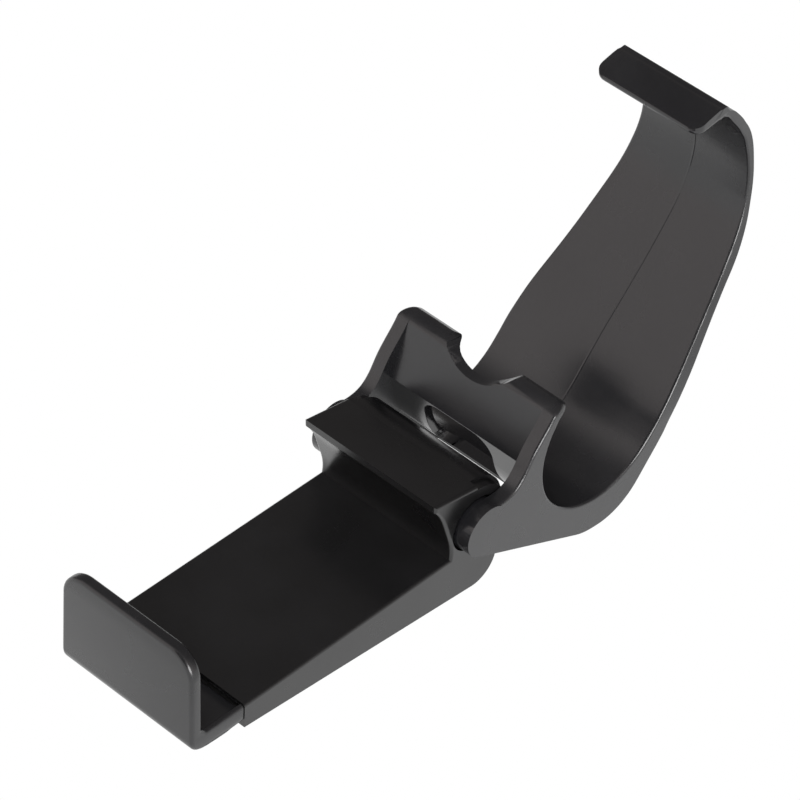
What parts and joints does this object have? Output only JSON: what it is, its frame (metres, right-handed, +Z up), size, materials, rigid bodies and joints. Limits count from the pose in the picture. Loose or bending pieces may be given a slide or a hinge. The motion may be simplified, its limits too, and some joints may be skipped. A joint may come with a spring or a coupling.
{
  "type": "controller phone clip",
  "caption": "Spring-loaded phone clip on a friction hinge, with a hooked cradle arm that wraps around a game controller.",
  "frame": {"origin": "middle of the footprint, on the ground under the clip", "axes": "+X from the sliding jaw toward the hooked arm, +Y across to the clip's left side, +Z up; the tray rises 5 degrees toward the hinge"},
  "size_m": [0.1668, 0.0454, 0.0925],
  "materials": {
    "black_plastic": "satin",
    "cover_plastic": "matte",
    "steel": "bright",
    "friction_plastic": "matte"
  },
  "bodies": {
    "cradle": {"cradle": "black_plastic"},
    "clip": {"clip_shell": "black_plastic", "bottom_cover": "cover_plastic", "cover_screws": "steel", "spring_left": "steel", "spring_right": "steel", "hinge_axle": "steel", "friction_washers": "friction_plastic"},
    "jaw": {"sliding_jaw": "black_plastic"}
  },
  "joints": [
    {"name": "clip_hinge", "type": "hinge", "parent": "cradle", "child": "clip", "pos_m": [-0.00008, 0, 0.01853], "axis": [0, 1, 0], "range_deg": [-20, 60]},
    {"name": "jaw_slide", "type": "slide", "parent": "clip", "child": "jaw", "axis": [-0.9962, 0, -0.0872], "range_m": [0, 0.02], "stiffness_N_per_m": 300, "springref_m": -0.01, "deforming": ["spring_left", "spring_right"]}
  ]
}
